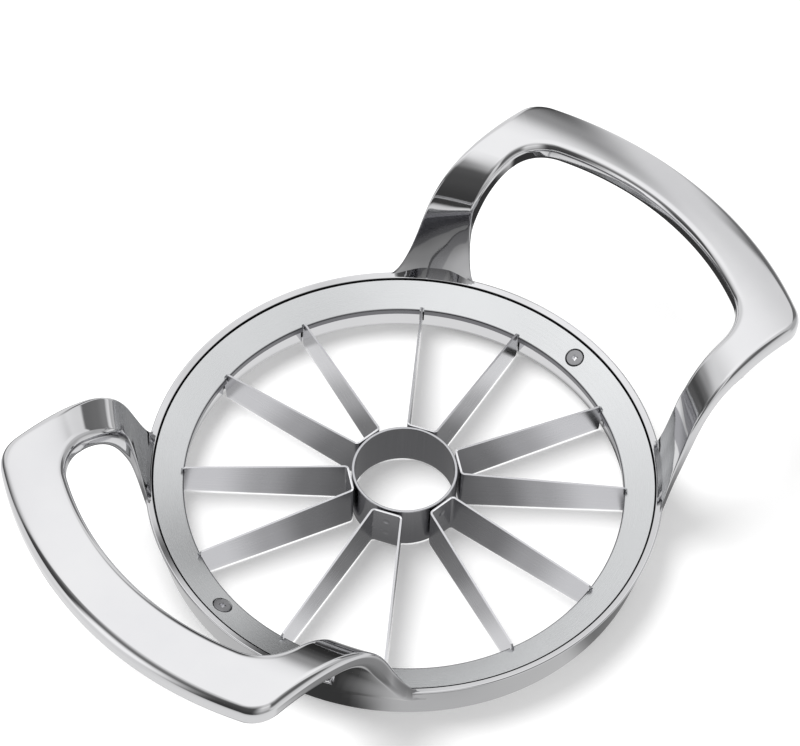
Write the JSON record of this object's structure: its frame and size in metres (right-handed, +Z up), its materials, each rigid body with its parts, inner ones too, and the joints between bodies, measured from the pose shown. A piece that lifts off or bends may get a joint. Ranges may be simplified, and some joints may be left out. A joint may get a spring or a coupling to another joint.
{
  "type": "apple slicer",
  "caption": "Round apple slicer and corer with a ring of straight blades round a core tube, and two raised loop handles.",
  "frame": {"origin": "middle of the frame's foot, on the surface that the slicer stands on", "axes": "+X runs along the handles, +Z up, which is the axis of the core tube"},
  "size_m": [0.19, 0.1234, 0.0472],
  "materials": {
    "polished_casting": "mirror-polished plated die casting",
    "satin_steel": "satin turned",
    "drawn_steel": "drawn tube, fine lines along its length",
    "blade_steel": "cold-rolled strip, bright cut edges",
    "screw_steel": "plain bright screw"
  },
  "bodies": {
    "root": {"frame": "polished_casting", "clamp_ring": "satin_steel", "core_tube": "drawn_steel", "double_blade_1": "blade_steel", "double_blade_2": "blade_steel", "double_blade_3": "blade_steel", "double_blade_4": "blade_steel", "double_blade_5": "blade_steel", "double_blade_6": "blade_steel", "clamp_screw_1": "screw_steel", "clamp_screw_2": "screw_steel"}
  },
  "joints": []
}
